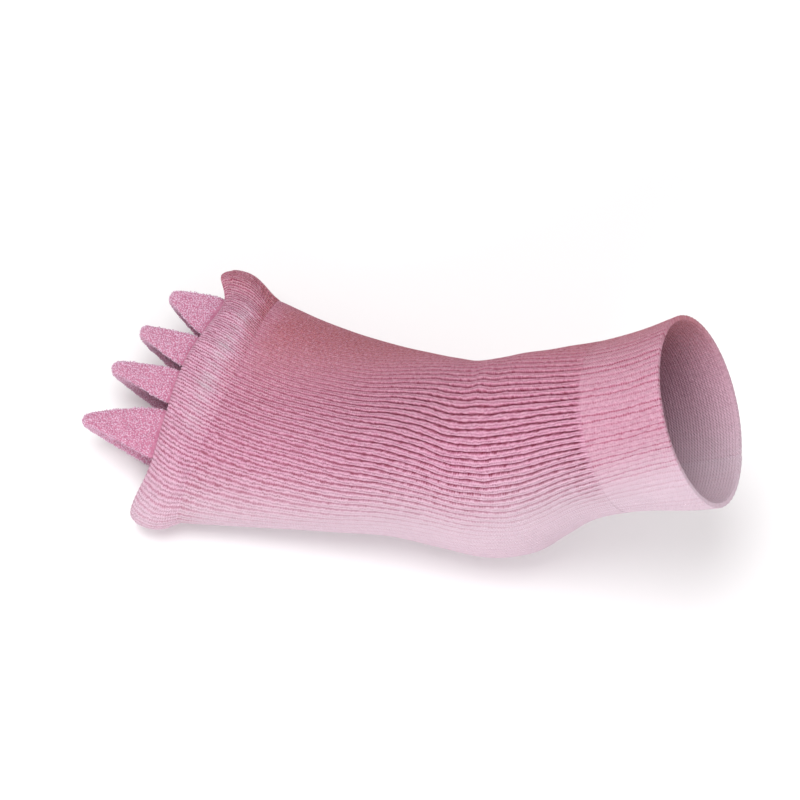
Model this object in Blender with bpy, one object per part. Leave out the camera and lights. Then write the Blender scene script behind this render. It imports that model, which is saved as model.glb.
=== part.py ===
"""Open-toe toe sock: a ribbed knitted sleeve for foot and ankle, with a turned hem across the toes,
a finer ribbed leg cuff and four terry dividers that part the toes.

Metres, Z up.  -X points to the toes, +X to the leg, -Y is the big toe's side and +Y the little toe's.
The origin is the heel seat, the point of the inner sole that the heel stands on.
"""
import math

import bmesh
import bpy
import numpy as np

# Driving sizes of the sleeve
FOOT_LENGTH = 0.145       # heel seat to the front of the toe hem
FOOT_WIDTH = 0.114        # across the toe hem
INSTEP_HEIGHT = 0.096     # heel seat to the bend of the ankle in front
HEEL_DEPTH = 0.045        # heel seat to the back of the heel
ANKLE_WIDTH = 0.065       # across the ankle
LEG_LENGTH = 0.052        # ankle to the open rim, along the leg
CUFF_WIDTH = 0.074        # across the open rim

# Knit and cloth
FOOT_WALL = 0.0026        # ribbed knit of the foot, ridge to inside
CUFF_WALL = 0.0020        # finer knit of the leg cuff
RIB_COUNT = 84            # ribs round the whole sleeve
FOOT_RIB_DEPTH = 0.0008   # valley of a rib at the ankle, where the knit is least stretched
CUFF_RIB_DEPTH = 0.0005
HEM_WIDTH = 0.019         # turned hem, from its front fold to its seam
HEM_THICKNESS = 0.0044
CUFF_LENGTH = 0.037       # finer knit, along the middle of the leg
RIM_FLARE = 0.0020        # lip of the rim at the calf
CLEARANCE = 0.0003        # between two pieces that are sewn or knitted to each other

# Toe dividers
DIVIDER_REACH = 0.038     # hem front to the tip of the longest divider
DIVIDER_INSET = 0.006     # length that is sewn inside the hem
DIVIDER_WAIST = 0.0055    # thickness between two toes
DIVIDER_TIP_WIDTH = 0.0078
DIVIDER_TIP_HEIGHT = 0.0092

# Mesh fineness
PLAIN_SOLE_STATIONS = 18
INNER_STATIONS = 36
FOOT_RINGS = 20
CUFF_RINGS = 6
HEM_STATIONS = 60
HEM_PROFILE_POINTS = 12
GIRTH_SAMPLES = 720

# Sections of the sleeve from the hem's front to the open rim.  Each plane passes through a sole point and
# a top point.  zone   sole_x  sole_z  top_x  top_z  half_width  side  slant  roll  belly  sole_p  top_p
# Foot and heel rows measure x and z from the heel seat, leg rows from the last heel row.  Lengths are shares
# of the sizes that ZONE_SIZES names, slant and roll are degrees, belly is the widest level as a share of the
# height, and the last two are the powers of the lower and upper half of the outline (2 is an ellipse).
SECTIONS = [
    ("foot", -1.000, -0.040, -0.986, 0.312, 0.500, 0.053, 5, 7, 0.50, 2.6, 2.3),
    ("foot", -0.870, -0.040, -0.862, 0.375, 0.482, 0.044, 4, 7, 0.48, 2.6, 2.3),
    ("foot", -0.717, -0.040, -0.710, 0.437, 0.443, 0.044, 4, 6, 0.46, 2.6, 2.2),
    ("foot", -0.560, -0.031, -0.565, 0.531, 0.408, 0.044, 3, 4, 0.45, 2.5, 2.1),
    ("foot", -0.400, -0.010, -0.441, 0.646, 0.373, 0.039, 2, 3, 0.45, 2.5, 2.1),
    ("foot", -0.248, -0.010, -0.331, 0.781, 0.338, 0.031, 1, 1, 0.46, 2.4, 2.1),
    ("foot", -0.097, -0.021, -0.234, 0.917, 0.311, 0.013, 0, 0, 0.46, 2.4, 2.1),
    ("heel", 0.133, -0.021, -0.511, 1.000, 0.523, 0.015, -3, 0, 0.46, 2.4, 2.1),
    ("heel", 0.511, 0.052, -0.289, 1.062, 0.508, 0.046, -5, 0, 0.48, 2.3, 2.1),
    ("heel", 0.756, 0.229, -0.044, 1.125, 0.500, 0.077, -8, 0, 0.50, 2.2, 2.1),
    ("heel", 1.000, 0.437, 0.267, 1.198, 0.500, 0.100, -10, 0, 0.50, 2.1, 2.1),
    ("leg", 0.290, 0.290, 0.290, 0.170, 0.453, 0.108, -12, 0, 0.50, 2.0, 2.0),
    ("leg", 0.615, 0.480, 0.575, 0.350, 0.480, 0.149, -12, 0, 0.50, 2.0, 2.0),
    ("leg", 0.940, 0.655, 0.800, 0.535, 0.500, 0.203, -12, 0, 0.50, 2.0, 2.0),
]
# zone: size that x follows, size that z follows, size that widths and side shifts follow
ZONE_SIZES = {
    "foot": (FOOT_LENGTH, INSTEP_HEIGHT, FOOT_WIDTH),
    "heel": (HEEL_DEPTH, INSTEP_HEIGHT, ANKLE_WIDTH),
    "leg": (LEG_LENGTH, LEG_LENGTH, CUFF_WIDTH),
}
LAST_HEEL_ROW = 10

# Soft folds across the bend of the ankle.  row  start  end  (shares of the girth)  width in rows
# and depth as a share of FOOT_WALL; a negative depth is a fold that stands up
FOLD_FADE = 0.3           # share of a fold's length over which either end runs out
FOLDS = [
    (7.55, 0.40, 0.70, 0.28, 0.30),
    (8.00, 0.42, 0.72, 0.25, -0.20),
    (8.50, 0.40, 0.72, 0.28, 0.30),
    (9.60, 0.20, 0.42, 0.50, 0.25),
]

# Where the ribs show on the foot, as shares of the girth from the middle of the sole (0.5 is the top), with
# the stretch over which they fade out at either end, and the rows between which they grow to full depth
RIBBED_FROM, RIBBED_TO = 0.22, 0.86
RIB_FADE = 0.12
FAINTEST_RIB = 0.25
RIBS_FAINT_UP_TO_ROW, RIBS_FULL_FROM_ROW = 1.5, 6.5

# How far the ribs are pulled aside, as shares of the girth: fanned out over the toes, sagging at the heel
# and drawn together on the leg
TOE_PULL, HEEL_SAG, LEG_PULL = -0.140, 0.020, -0.050
# Middle and spread of each pull, as shares of the girth
TOE_PULL_MIDDLE, TOE_PULL_SPREAD = 0.67, 0.34
HEEL_SAG_MIDDLE, HEEL_SAG_SPREAD = 0.77, 0.10
LEG_PULL_MIDDLE, LEG_PULL_SPREAD = 0.76, 0.13
# The rows where each pull acts.  The toes' pull narrows at each row for the first rows, and dies away
# with a power of what is left of its length
TOE_NARROWING, TOE_NARROWS_TO_ROW = 0.025, 6.0
TOE_PULL_LAST_ROW, TOE_PULL_POWER = 9.5, 1.6
HEEL_SAG_ROW, HEEL_SAG_ROWS = 8.6, 1.1
LEG_PULL_FIRST_ROW, LEG_PULL_FULL_ROW = 9.3, 12.5
# The middle of the sole stays where it is: the shares over which the pulls begin and end beside it
PULLS_BEGIN, PULLS_END = (0.0, 0.15), (0.90, 1.0)

# Places where a free edge opens outward, as shares of the girth
HEM_FLARES = [
    # place  spread  outward and forward as shares of HEM_THICKNESS
    (0.274, 0.040, 0.75, 2.40),
    (0.46, 0.115, 0.0, 1.25),
    (0.66, 0.05, 0.0, -0.3),
    (0.76, 0.07, 0.35, 0.1),
]
FLARE_POWER = 0.6         # how fast the hem's forward flare grows towards its front
HEM_ROLL = 0.15           # share of the hem's width that its outward swelling would reach past its front
CALF_PLACE, CALF_SPREAD = 0.86, 0.12
RIM_FLARE_ROWS = 1.5      # rows before the rim over which its lip opens

# Powers of the hem's pillow section: along its width and through its thickness (1 is an ellipse)
HEM_EDGE_POWER, HEM_CROWN_POWER = 0.5, 0.7
HEM_EDGE_SHARE = 0.12     # share of the hem's width where its rounded front is fully thick

# Dividers from the big toe outward.  base and tip are the places across the foot, as shares of FOOT_WIDTH
# from the hem's middle, base_width is a share of it too, and reach is a share of DIVIDER_REACH
DIVIDERS = [
    # base    tip    base_width  reach
    (-0.216, -0.240, 0.200, 1.00),
    (-0.024, -0.002, 0.142, 0.97),
    (0.133, 0.177, 0.140, 0.87),
    (0.308, 0.356, 0.190, 0.75),
]
# Right half of a divider's section from its lower edge to its upper one: level from -1 to 1, at the hem the
# place between the waist (0) and the full width (1), at the tip the share of the tip's width
DIVIDER_OUTLINE = [
    # level  at_hem  at_tip
    (-1.00, 0.30, 0.30),
    (-0.90, 0.52, 0.62),
    (-0.70, 0.34, 0.82),
    (-0.40, 0.10, 0.96),
    (0.00, 0.00, 1.00),
    (0.40, 0.14, 0.96),
    (0.70, 0.58, 0.82),
    (0.90, 0.94, 0.62),
    (1.00, 0.55, 0.30),
]
# Growth of a divider along its length: place from 0 at the hem's front to 1 at the tip, width between tip
# and base, height between hem and tip
DIVIDER_STEPS = [
    # place  width  height
    (0.00, 1.00, 0.00),
    (0.16, 0.93, 0.06),
    (0.34, 0.76, 0.22),
    (0.52, 0.55, 0.44),
    (0.70, 0.33, 0.68),
    (0.85, 0.12, 0.90),
]
TIP_ROUNDING = [(0.95, 0.78), (1.00, 0.42)]   # place along the reach, share of the full section
SEWN_END_WIDTH = 0.80     # width of the end inside the hem, as a share of the way from tip to base width
DIVIDER_BEND = 1.4        # power of the sideways bend from base to tip

# Finishes: base colour, roughness
ROSE_RIB = ((0.62, 0.30, 0.37, 1.0), 0.92)
PALE_RIB = ((0.70, 0.38, 0.44, 1.0), 0.92)
HEM_KNIT = ((0.72, 0.40, 0.47, 1.0), 0.94)
TERRY = ((0.76, 0.46, 0.52, 1.0), 0.96)


def section_rows():
    """The table in metres: one row of plain numbers for each section."""
    rows = []
    for zone, sole_x, sole_z, top_x, top_z, half, side, *rest in SECTIONS:
        length, height, width = ZONE_SIZES[zone]
        row = [sole_x * length, sole_z * height, top_x * length, top_z * height, half * width, side * width]
        if zone == "leg":
            ankle = rows[LAST_HEEL_ROW]
            row[:4] = [place + start for place, start in zip(row[:4], ankle[:4])]
        rows.append(row + list(rest))
    return np.array(rows)


ROWS = section_rows()


def row_at(u):
    """A section between the table's rows, on a Catmull-Rom curve through them; u counts rows."""
    last = len(ROWS) - 1
    i = min(int(u), last - 1)
    f = u - i
    before = ROWS[i - 1] if i > 0 else 2 * ROWS[0] - ROWS[1]
    after = ROWS[i + 2] if i + 2 <= last else 2 * ROWS[last] - ROWS[last - 1]
    a, b = ROWS[i], ROWS[i + 1]
    return 0.5 * (2 * a + (b - before) * f + (2 * before - 5 * a + 4 * b - after) * f ** 2
                  + (3 * a - before - 3 * b + after) * f ** 3)


def plane_at(u):
    """Centre, lateral axis, upward axis and the half sizes of the section at u."""
    sole_x, sole_z, top_x, top_z, half, side, slant, roll, belly, sole_p, top_p = row_at(u)
    height = math.hypot(top_x - sole_x, top_z - sole_z)
    rise = np.array([(top_x - sole_x) / height, 0.0, (top_z - sole_z) / height])
    across = np.array([math.sin(math.radians(slant)), math.cos(math.radians(slant)), 0.0])
    up = rise - (rise @ across) * across
    up /= np.linalg.norm(up)
    turn = math.radians(roll)
    lateral = math.cos(turn) * across + math.sin(turn) * up
    upward = math.cos(turn) * up - math.sin(turn) * across
    centre = np.array([sole_x, side, sole_z]) + belly * height * rise
    return centre, lateral, upward, half, (1 - belly) * height, belly * height, top_p, sole_p


def forward_at(u):
    """Direction square to the section at u, towards the toes."""
    _, lateral, upward = plane_at(u)[:3]
    return np.cross(upward, lateral)


def outline(u, angles, offset=0.0):
    """Points of the section at u: angle 0 is the little toe's side, 90 degrees the top."""
    centre, lateral, upward, half, top, bottom, top_p, sole_p = plane_at(u)
    c, s = np.cos(angles), np.sin(angles)
    power = np.where(s > 0, top_p, sole_p)
    reach = np.where(s > 0, top, bottom)
    l = (half + offset) * np.sign(c) * np.abs(c) ** (2 / power)
    h = (reach + offset) * np.sign(s) * np.abs(s) ** (2 / power)
    return centre + np.outer(l, lateral) + np.outer(h, upward)


def ring(u, shares, offset=0.0):
    """Points of the section at u at equal arc lengths; share 0 is the middle of the sole, 0.5 the top."""
    samples = np.linspace(-math.pi / 2, 1.5 * math.pi, GIRTH_SAMPLES + 1)
    line = outline(u, samples)
    steps = np.linalg.norm(np.diff(line, axis=0), axis=1)
    travelled = np.concatenate([[0.0], np.cumsum(steps)])
    angles = np.interp(np.asarray(shares) * travelled[-1], travelled, samples)
    return outline(u, angles, offset)


def middle_line():
    """Row numbers and lengths travelled along the middle of the sleeve, from the hem's front."""
    rows = np.linspace(0, len(ROWS) - 1, 40 * len(ROWS))
    middle = np.array([(row_at(u)[0:2] + row_at(u)[2:4]) / 2 for u in rows])
    steps = np.linalg.norm(np.diff(middle, axis=0), axis=1)
    return rows, np.concatenate([[0.0], np.cumsum(steps)])


LINE_ROWS, LINE_LENGTHS = middle_line()
SLEEVE_LENGTH = LINE_LENGTHS[-1]


def row_after(length):
    """Row number at a length from the hem's front, along the middle of the sleeve."""
    return float(np.interp(length, LINE_LENGTHS, LINE_ROWS))


def smooth_step(low, high, x):
    t = np.clip((np.asarray(x, float) - low) / (high - low), 0, 1)
    return t * t * (3 - 2 * t)


def bell(x, middle, spread):
    return np.exp(-((np.asarray(x, float) - middle) / spread) ** 2)


def drifted(u, shares):
    """Shares of the girth where evenly counted ribs really lie at row u."""
    fan = TOE_PULL_SPREAD - TOE_NARROWING * min(u, TOE_NARROWS_TO_ROW)
    left = max(1 - u / TOE_PULL_LAST_ROW, 0.0) ** TOE_PULL_POWER
    at_toes = TOE_PULL * left * bell(shares, TOE_PULL_MIDDLE, fan)
    sag = HEEL_SAG * bell(u, HEEL_SAG_ROW, HEEL_SAG_ROWS)
    at_heel = sag * bell(shares, HEEL_SAG_MIDDLE, HEEL_SAG_SPREAD)
    drawn = LEG_PULL * smooth_step(LEG_PULL_FIRST_ROW, LEG_PULL_FULL_ROW, u)
    at_leg = drawn * bell(shares, LEG_PULL_MIDDLE, LEG_PULL_SPREAD)
    beside_sole = smooth_step(*PULLS_BEGIN, shares) * (1 - smooth_step(*PULLS_END, shares))
    return shares + (at_toes + at_heel + at_leg) * beside_sole


def fold_depth(u, shares):
    """How far the ankle's folds sink the knit at row u."""
    depth = np.zeros(len(shares))
    for row, start, end, width, share in FOLDS:
        fade = FOLD_FADE * (end - start)
        inside = smooth_step(start, start + fade, shares) * (1 - smooth_step(end - fade, end, shares))
        depth += share * FOOT_WALL * math.exp(-((u - row) / width) ** 2) * inside
    return depth


def rib_depth(u, shares):
    """Depth of the valleys: faint over the toes, full at the ankle, none on the sole or the outer edge."""
    grown = smooth_step(RIBS_FAINT_UP_TO_ROW, RIBS_FULL_FROM_ROW, u)
    along = FAINTEST_RIB + (1 - FAINTEST_RIB) * grown
    begins = smooth_step(RIBBED_FROM, RIBBED_FROM + RIB_FADE, shares)
    around = begins * (1 - smooth_step(RIBBED_TO - RIB_FADE, RIBBED_TO, shares))
    return FOOT_RIB_DEPTH * along * around


def link(bm, first, second):
    """Quads between two closed loops of the same count."""
    count = len(first)
    for k in range(count):
        n = (k + 1) % count
        bm.faces.new((first[k], first[n], second[n], second[k]))


def bridge(bm, outer, inner, picks):
    """Triangles between a fine outer loop and a coarse inner one; picks are the outer stations that the
    inner points lie under.  Each inner point takes the outer edges nearest to it."""
    count = len(outer)
    for k, start in enumerate(picks):
        here, after = inner[k], inner[(k + 1) % len(inner)]
        end = picks[k + 1] if k + 1 < len(picks) else count
        middle = (start + end) // 2
        for j in range(start, end):
            bm.faces.new((here if j < middle else after, outer[j], outer[(j + 1) % count]))
        bm.faces.new((here, outer[middle], after))


def add_piece(name, bm, material):
    """The finished mesh as an object with its own material, faces outward."""
    bmesh.ops.recalc_face_normals(bm, faces=bm.faces)
    mesh = bpy.data.meshes.new(name)
    bm.to_mesh(mesh)
    bm.free()
    mesh.shade_smooth()
    mesh.set_sharp_from_angle(angle=math.radians(30))
    mesh.materials.append(material)
    piece = bpy.data.objects.new(name, mesh)
    COLLECTION.objects.link(piece)
    return piece


def cloth_material(name, finish):
    colour, roughness = finish
    material = bpy.data.materials.new(name)
    material.use_nodes = True
    shader = material.node_tree.nodes["Principled BSDF"]
    shader.inputs["Base Color"].default_value = colour
    shader.inputs["Roughness"].default_value = roughness
    shader.inputs["Metallic"].default_value = 0.0
    return material


def sleeve(name, rows, stations, is_valley, wall, rib, sink, flare, material):
    """A tube of knit: a ribbed outside, a plain inside, and an open rim at both ends.

    stations are the outer points as shares of the girth, is_valley marks the ones in a rib's valley."""
    bm = bmesh.new()
    picks = [int(np.argmin(np.abs(stations - share))) for share in np.arange(INNER_STATIONS) / INNER_STATIONS]
    picks = sorted(set(picks))
    outer, inner = [], []
    for u in rows:
        places = drifted(u, stations)
        lift = flare(u, places) - sink(u, places)
        outside = ring(u, places, lift - is_valley * rib(u, stations))
        inside = ring(u, places[picks], lift[picks] - wall)
        outer.append([bm.verts.new(p) for p in outside])
        inner.append([bm.verts.new(p) for p in inside])
    for loops in (outer, inner):
        for first, second in zip(loops, loops[1:]):
            link(bm, first, second)
    for end in (0, -1):
        bridge(bm, outer[end], inner[end], picks)
    return add_piece(name, bm, material)


def rib_stations(start, end, plain):
    """Shares of the girth: two stations for each rib from start to end, few on the plain rest."""
    first, last = math.ceil(start * RIB_COUNT), math.floor(end * RIB_COUNT)
    ribbed = np.arange(2 * first, 2 * last + 1) / (2 * RIB_COUNT)
    valley = (np.arange(2 * first, 2 * last + 1) % 2).astype(float)
    before = np.linspace(0, ribbed[0], plain // 2 + 1)[:-1]
    after = np.linspace(ribbed[-1], 1, plain // 2 + 1)[1:-1]
    stations = np.concatenate([before, ribbed, after])
    return stations, np.concatenate([0 * before, valley, 0 * after])


def no_lift(u, shares):
    return np.zeros(len(shares))


def build_foot_tube():
    """The foot from the hem's seam to the ankle, with its heel pocket."""
    stations, is_valley = rib_stations(RIBBED_FROM, RIBBED_TO, PLAIN_SOLE_STATIONS)
    rows = np.linspace(row_after(HEM_WIDTH + CLEARANCE), row_after(SLEEVE_LENGTH - CUFF_LENGTH), FOOT_RINGS)
    material = cloth_material("rose_rib_knit", ROSE_RIB)
    return sleeve("foot_tube", rows, stations, is_valley, FOOT_WALL, rib_depth, fold_depth, no_lift, material)


def build_leg_cuff():
    """The finer knit of the leg, ribbed all round, up to the open rim."""
    stations = np.arange(2 * RIB_COUNT) / (2 * RIB_COUNT)
    is_valley = (np.arange(2 * RIB_COUNT) % 2).astype(float)
    start = row_after(SLEEVE_LENGTH - CUFF_LENGTH + CLEARANCE)
    rows = np.linspace(start, len(ROWS) - 1, CUFF_RINGS)

    def rib(u, shares):
        return np.full(len(shares), CUFF_RIB_DEPTH)

    def flare(u, shares):
        at_calf = np.exp(-((shares - CALF_PLACE) / CALF_SPREAD) ** 2)
        rim = len(ROWS) - 1
        return RIM_FLARE * at_calf * smooth_step(rim - RIM_FLARE_ROWS, rim, u)

    material = cloth_material("pale_rib_knit", PALE_RIB)
    return sleeve("leg_cuff", rows, stations, is_valley, CUFF_WALL, rib, fold_depth, flare, material)


def hem_profile():
    """A pillow section: length from the hem's front as a share of its width, offset from the sleeve."""
    angles = np.arange(HEM_PROFILE_POINTS) * 2 * math.pi / HEM_PROFILE_POINTS
    c, s = np.cos(angles), np.sin(angles)
    lengths = 0.5 + 0.5 * np.sign(c) * np.abs(c) ** HEM_EDGE_POWER
    offsets = 0.5 * HEM_THICKNESS * np.sign(s) * np.abs(s) ** HEM_CROWN_POWER
    return lengths, offsets + HEM_LIFT


HEM_LIFT = (HEM_THICKNESS / 2 - FOOT_WALL) / 2   # the hem's middle lies a little outside the sleeve's
HEM_EDGE = HEM_EDGE_SHARE * HEM_WIDTH


def hem_flare(length, shares):
    """How far outward and how far forward the hem's front goes: it opens at its two ends and bulges
    towards the toes between them."""
    moves = np.zeros((2, len(shares)))
    for place, spread, *far in HEM_FLARES:
        moves += np.outer(far, np.exp(-((shares - place) / spread) ** 2))
    swelling = 4 * (length + HEM_ROLL) * (1 - length) / (1 + HEM_ROLL) ** 2
    return HEM_THICKNESS * moves[0] * swelling, HEM_THICKNESS * moves[1] * (1 - length) ** FLARE_POWER


def build_toe_hem():
    """The turned band round the toes: a pillow section carried round the sleeve's mouth."""
    bm = bmesh.new()
    shares = np.arange(HEM_STATIONS) / HEM_STATIONS
    loops = []
    for length, offset in zip(*hem_profile()):
        row = row_after(length * HEM_WIDTH)
        outward, forward = hem_flare(length, shares)
        points = ring(row, shares, offset + outward) + np.outer(forward, forward_at(row))
        loops.append([bm.verts.new(p) for p in points])
    for first, second in zip(loops, loops[1:] + loops[:1]):
        link(bm, first, second)
    return add_piece("toe_hem", bm, cloth_material("hem_knit", HEM_KNIT))


HEM_GIRTH = np.linalg.norm(np.diff(ring(0.0, np.linspace(0, 1, 361)), axis=0), axis=1).sum()


def mouth_heights(section, l):
    """Heights of the hem's inside above and below the section's widest level, at lateral places l."""
    half, top, bottom, top_p, sole_p = section[3:]
    inset = HEM_THICKNESS / 2 - HEM_LIFT + CLEARANCE
    share = np.abs(l) / (half - inset)
    above = (top - inset) * (1 - share ** top_p) ** (1 / top_p)
    below = (inset - bottom) * (1 - share ** sole_p) ** (1 / sole_p)
    return above, below


def divider_ring(base, tip, base_width, reach, place, width, height, size):
    """One hourglass section: wide under the hem, narrow between the toes.  place runs from 0 at the hem's
    front to 1 at the tip, and is negative inside the hem, where the section follows the hem's inside."""
    right = np.array(DIVIDER_OUTLINE)
    around = np.concatenate([right, right[::-1]])
    level = around[:, 0]
    at_hem = DIVIDER_WAIST + (base_width - DIVIDER_WAIST) * around[:, 1]
    at_tip = DIVIDER_TIP_WIDTH * around[:, 2]
    hand = np.repeat([0.5, -0.5], len(right))
    middle = base + (tip - base) * max(place, 0) ** DIVIDER_BEND
    l = middle + size * hand * (width * at_hem + (1 - width) * at_tip)

    length = place * reach
    row = row_after(max(-length, HEM_EDGE))
    section = plane_at(row)
    centre, lateral, upward = section[:3]
    top, bottom = mouth_heights(section, l)
    tip_level = sum(mouth_heights(section, base)) / 2
    top = (1 - height) * top + height * (tip_level + DIVIDER_TIP_HEIGHT / 2)
    bottom = (1 - height) * bottom + height * (tip_level - DIVIDER_TIP_HEIGHT / 2)
    h = (top + bottom) / 2 + size * level * (top - bottom) / 2
    # the upper edge is sewn to the hem, so it goes forward with the hem's front
    follows = hem_flare(max(-length, HEM_EDGE) / HEM_WIDTH, 0.5 - l / HEM_GIRTH)[1]
    out = length + HEM_EDGE if length >= 0 else 0.0
    out = out + follows * (1 + level) / 2 * (1 - max(place, 0))
    return centre + np.outer(l, lateral) + np.outer(h, upward) + np.outer(out, forward_at(row))


def build_divider(number, base, tip, base_width, reach):
    """A padded terry tongue from inside the hem to its blunt tip between two toes."""
    base, tip, base_width = base * FOOT_WIDTH, tip * FOOT_WIDTH, base_width * FOOT_WIDTH
    reach = reach * DIVIDER_REACH
    steps = [(-DIVIDER_INSET / reach, SEWN_END_WIDTH, 0.0, 1.0)]
    steps += [(place, width, height, 1.0) for place, width, height in DIVIDER_STEPS]
    steps += [(place, 0.0, 1.0, size) for place, size in TIP_ROUNDING]
    bm = bmesh.new()
    loops = [[bm.verts.new(p) for p in divider_ring(base, tip, base_width, reach, *step)] for step in steps]
    for first, second in zip(loops, loops[1:]):
        link(bm, first, second)
    bm.faces.new(loops[0])
    bm.faces.new(loops[-1])
    return add_piece(f"toe_divider_{number}", bm, cloth_material(f"terry_{number}", TERRY))


def clear_scene():
    for item in list(bpy.data.objects):
        bpy.data.objects.remove(item, do_unlink=True)


clear_scene()
COLLECTION = bpy.data.collections.new("toe_sock")
bpy.context.scene.collection.children.link(COLLECTION)

build_toe_hem()
build_foot_tube()
build_leg_cuff()
for index, divider in enumerate(DIVIDERS, 1):
    build_divider(index, *divider)
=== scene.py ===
# %% [markdown]
# # An open-toe sock with terry toe dividers
#
# This lesson dresses a plain solid model of a sock in knitted cotton.  The sock is a ribbed sleeve for foot
# and ankle with a turned, puffy hem across the toes, a finer leg cuff and four terry tongues that hold the
# toes apart.  All lengths are metres.  -X points to the toes, +X to the leg, -Y is the big toe's side.

# %% [markdown]
# ## The frame
#
# The solid model is loaded first and stays as it is.  Each soft piece made below takes the place of one of
# its solids, so the first thing to keep is the box that they fill.

# %% Load the solid model
import math

import bpy
import numpy as np
from mathutils import Matrix, Vector


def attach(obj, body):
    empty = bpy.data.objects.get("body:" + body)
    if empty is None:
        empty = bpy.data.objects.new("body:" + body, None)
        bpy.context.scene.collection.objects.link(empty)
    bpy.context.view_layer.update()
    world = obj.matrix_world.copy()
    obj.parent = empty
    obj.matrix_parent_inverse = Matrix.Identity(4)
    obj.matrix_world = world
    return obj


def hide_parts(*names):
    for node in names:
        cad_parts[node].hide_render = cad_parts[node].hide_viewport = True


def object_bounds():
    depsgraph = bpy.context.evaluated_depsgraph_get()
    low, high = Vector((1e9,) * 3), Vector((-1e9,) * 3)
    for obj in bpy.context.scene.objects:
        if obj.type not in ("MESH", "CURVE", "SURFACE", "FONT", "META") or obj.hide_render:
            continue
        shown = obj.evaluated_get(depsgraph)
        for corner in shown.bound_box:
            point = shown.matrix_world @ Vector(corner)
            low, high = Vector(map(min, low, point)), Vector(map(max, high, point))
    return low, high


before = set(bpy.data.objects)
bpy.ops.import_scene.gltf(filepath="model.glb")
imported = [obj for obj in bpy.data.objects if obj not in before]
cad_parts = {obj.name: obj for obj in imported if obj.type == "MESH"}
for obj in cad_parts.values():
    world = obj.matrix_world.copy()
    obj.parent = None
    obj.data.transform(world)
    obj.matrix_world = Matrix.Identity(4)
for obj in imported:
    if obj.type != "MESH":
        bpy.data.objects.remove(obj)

solid_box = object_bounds()
print("solid model fills", solid_box)

# %% [markdown]
# ## The sleeve as a table
#
# A sock that is worn is a bent tube.  It could be sculpted, but a table of sections is easier to change: each
# row gives the plane and the outline of one section, from the toe hem to the rim of the leg.  Rows are in
# metres here, measured from the heel seat.

# %% Sections of the worn sleeve
foot_length, foot_width, instep_height = 0.145, 0.114, 0.096
heel_depth, ankle_width, leg_length, cuff_width = 0.045, 0.065, 0.052, 0.074
zone_sizes = {
    "foot": (foot_length, instep_height, foot_width),
    "heel": (heel_depth, instep_height, ankle_width),
    "leg": (leg_length, leg_length, cuff_width),
}
# zone  sole_x  sole_z  top_x  top_z  half_width  side  slant  roll  belly  sole_power  top_power
sections = [
    ("foot", -1.000, -0.040, -0.986, 0.312, 0.500, 0.053, 5, 7, 0.50, 2.6, 2.3),
    ("foot", -0.870, -0.040, -0.862, 0.375, 0.482, 0.044, 4, 7, 0.48, 2.6, 2.3),
    ("foot", -0.717, -0.040, -0.710, 0.437, 0.443, 0.044, 4, 6, 0.46, 2.6, 2.2),
    ("foot", -0.560, -0.031, -0.565, 0.531, 0.408, 0.044, 3, 4, 0.45, 2.5, 2.1),
    ("foot", -0.400, -0.010, -0.441, 0.646, 0.373, 0.039, 2, 3, 0.45, 2.5, 2.1),
    ("foot", -0.248, -0.010, -0.331, 0.781, 0.338, 0.031, 1, 1, 0.46, 2.4, 2.1),
    ("foot", -0.097, -0.021, -0.234, 0.917, 0.311, 0.013, 0, 0, 0.46, 2.4, 2.1),
    ("heel", 0.133, -0.021, -0.511, 1.000, 0.523, 0.015, -3, 0, 0.46, 2.4, 2.1),
    ("heel", 0.511, 0.052, -0.289, 1.062, 0.508, 0.046, -5, 0, 0.48, 2.3, 2.1),
    ("heel", 0.756, 0.229, -0.044, 1.125, 0.500, 0.077, -8, 0, 0.50, 2.2, 2.1),
    ("heel", 1.000, 0.437, 0.267, 1.198, 0.500, 0.100, -10, 0, 0.50, 2.1, 2.1),
    ("leg", 0.290, 0.290, 0.290, 0.170, 0.453, 0.108, -12, 0, 0.50, 2.0, 2.0),
    ("leg", 0.615, 0.480, 0.575, 0.350, 0.480, 0.149, -12, 0, 0.50, 2.0, 2.0),
    ("leg", 0.940, 0.655, 0.800, 0.535, 0.500, 0.203, -12, 0, 0.50, 2.0, 2.0),
]
last_heel_row = 10


def rows_in_metres():
    """The table with its shares turned into lengths; leg rows count from the last heel row."""
    rows = []
    for zone, sole_x, sole_z, top_x, top_z, half, side, *rest in sections:
        along, up, across = zone_sizes[zone]
        row = [sole_x * along, sole_z * up, top_x * along, top_z * up, half * across, side * across]
        if zone == "leg":
            row[:4] = [place + start for place, start in zip(row[:4], rows[last_heel_row][:4])]
        rows.append(row + list(rest))
    return np.array(rows)


rows = rows_in_metres()
last_row = len(rows) - 1
print("sections:", len(rows))

# %% [markdown]
# ## From rows to rings
#
# Between two rows a Catmull-Rom curve gives a smooth section at any place.  Each section is a superellipse:
# rounder on top, squarer at the sole.  Points are set at equal lengths round it, because a knitted sleeve has
# the same number of ribs everywhere and they share the girth evenly.  Share 0 is the middle of the sole,
# 0.25 the little toe's side, 0.5 the top and 0.75 the big toe's side.

# %% Section, plane and ring
def row_at(u):
    """The table's row at u, where u counts rows and may lie between two."""
    i = min(int(u), last_row - 1)
    f = u - i
    before = rows[i - 1] if i > 0 else 2 * rows[0] - rows[1]
    after = rows[i + 2] if i + 2 <= last_row else 2 * rows[last_row] - rows[last_row - 1]
    a, b = rows[i], rows[i + 1]
    return 0.5 * (2 * a + (b - before) * f + (2 * before - 5 * a + 4 * b - after) * f ** 2
                  + (3 * a - before - 3 * b + after) * f ** 3)


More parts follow.
